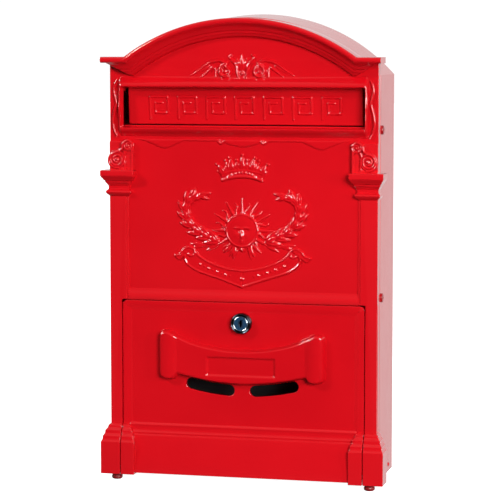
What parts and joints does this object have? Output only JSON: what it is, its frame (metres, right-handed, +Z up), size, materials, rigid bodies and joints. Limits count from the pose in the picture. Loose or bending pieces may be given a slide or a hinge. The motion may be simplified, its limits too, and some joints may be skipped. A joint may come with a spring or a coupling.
{
  "type": "mailbox",
  "caption": "Wall mailbox with an arched cast front, an inward letter flap, a drop-down door with a cam lock and a sheet-steel housing.",
  "frame": {"origin": "centre of the four wall holes, on the rear face", "axes": "+Z up, +Y towards the wall, the front faces -Y, +X to the right seen from the front"},
  "size_m": [0.2586, 0.093, 0.418],
  "materials": {
    "red_casting": "gloss",
    "red_sheet": "gloss",
    "red_foot": "satin",
    "lock_chrome": "polished",
    "lock_face": "gloss",
    "zinc_steel": "satin"
  },
  "bodies": {
    "housing": {"front_frame": "red_casting", "housing_wrap": "red_sheet", "back_panel": "red_sheet", "floor_panel": "red_sheet", "floor_rivets": "red_sheet", "side_screws_left": "red_sheet", "side_screws_right": "red_sheet", "foot_left": "red_foot", "foot_right": "red_foot", "pediment_ornament": "red_casting", "slot_apron": "red_casting", "capital_scroll_left": "red_casting", "capital_scroll_right": "red_casting", "emblem_crown": "red_casting", "emblem_wreath_left": "red_casting", "emblem_wreath_right": "red_casting", "emblem_sun": "red_casting", "emblem_ribbon": "red_casting", "flap_rod": "zinc_steel", "flap_rod_clips": "zinc_steel", "hinge_pin_left": "zinc_steel", "hinge_pin_right": "zinc_steel"},
    "flap": {"slot_flap": "red_casting", "flap_frieze": "red_casting"},
    "door": {"door": "red_casting", "door_banner": "red_casting", "lock_body": "lock_chrome", "lock_washer": "zinc_steel", "lock_nut": "zinc_steel"},
    "lock": {"lock_plug": "lock_face", "lock_cam": "zinc_steel", "lock_cam_screw": "zinc_steel"}
  },
  "joints": [
    {"name": "flap_swing", "type": "hinge", "parent": "housing", "child": "flap", "pos_m": [0, -0.065, 0.1508], "axis": [1, 0, 0], "range_deg": [0, 70]},
    {"name": "door_drop", "type": "hinge", "parent": "housing", "child": "door", "pos_m": [0, -0.083, -0.193], "axis": [1, 0, 0], "range_deg": [0, 95]},
    {"name": "lock_turn", "type": "hinge", "parent": "door", "child": "lock", "pos_m": [0, -0.078, -0.0605], "axis": [0, -1, 0], "range_deg": [0, 90]}
  ]
}
